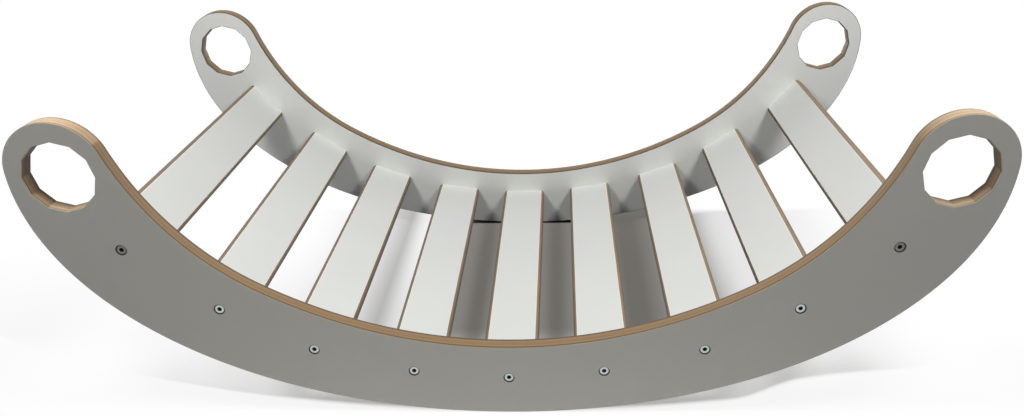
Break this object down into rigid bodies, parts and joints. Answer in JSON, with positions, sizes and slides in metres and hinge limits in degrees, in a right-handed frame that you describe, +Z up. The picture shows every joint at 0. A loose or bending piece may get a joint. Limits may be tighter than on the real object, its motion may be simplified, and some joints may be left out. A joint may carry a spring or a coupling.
{
  "type": "rocker arch",
  "caption": "Crescent wooden rocker arch for children: side panels with round hand-hole knobs, joined by flat slats, each fixed by a sunk socket-head screw and hidden dowels.",
  "frame": {"origin": "on the floor under the middle of the arch, halfway between the side panels", "axes": "+X along the arch, from knob to knob; +Y across it, from the front panel to the rear one; +Z up, with the hollow side up, as it stands to rock"},
  "size_m": [1, 0.526, 0.345],
  "materials": {
    "panel_laminate": "satin grey laminate on plywood, bare sanded ply edges",
    "slat_laminate": "satin pale laminate on plywood, bare sanded ply edges",
    "screw_steel": "bright zinc",
    "dowel_beech": "raw"
  },
  "bodies": {
    "root": {"side_panel_front": "panel_laminate", "side_panel_rear": "panel_laminate", "slat_1": "slat_laminate", "slat_2": "slat_laminate", "slat_3": "slat_laminate", "slat_4": "slat_laminate", "slat_5": "slat_laminate", "slat_6": "slat_laminate", "slat_7": "slat_laminate", "slat_8": "slat_laminate", "slat_9": "slat_laminate", "screw_front_1": "screw_steel", "screw_front_2": "screw_steel", "screw_front_3": "screw_steel", "screw_front_4": "screw_steel", "screw_front_5": "screw_steel", "screw_front_6": "screw_steel", "screw_front_7": "screw_steel", "screw_front_8": "screw_steel", "screw_front_9": "screw_steel", "screw_rear_1": "screw_steel", "screw_rear_2": "screw_steel", "screw_rear_3": "screw_steel", "screw_rear_4": "screw_steel", "screw_rear_5": "screw_steel", "screw_rear_6": "screw_steel", "screw_rear_7": "screw_steel", "screw_rear_8": "screw_steel", "screw_rear_9": "screw_steel", "dowels_1": "dowel_beech", "dowels_2": "dowel_beech", "dowels_3": "dowel_beech", "dowels_4": "dowel_beech", "dowels_5": "dowel_beech", "dowels_6": "dowel_beech", "dowels_7": "dowel_beech", "dowels_8": "dowel_beech", "dowels_9": "dowel_beech"}
  },
  "joints": []
}
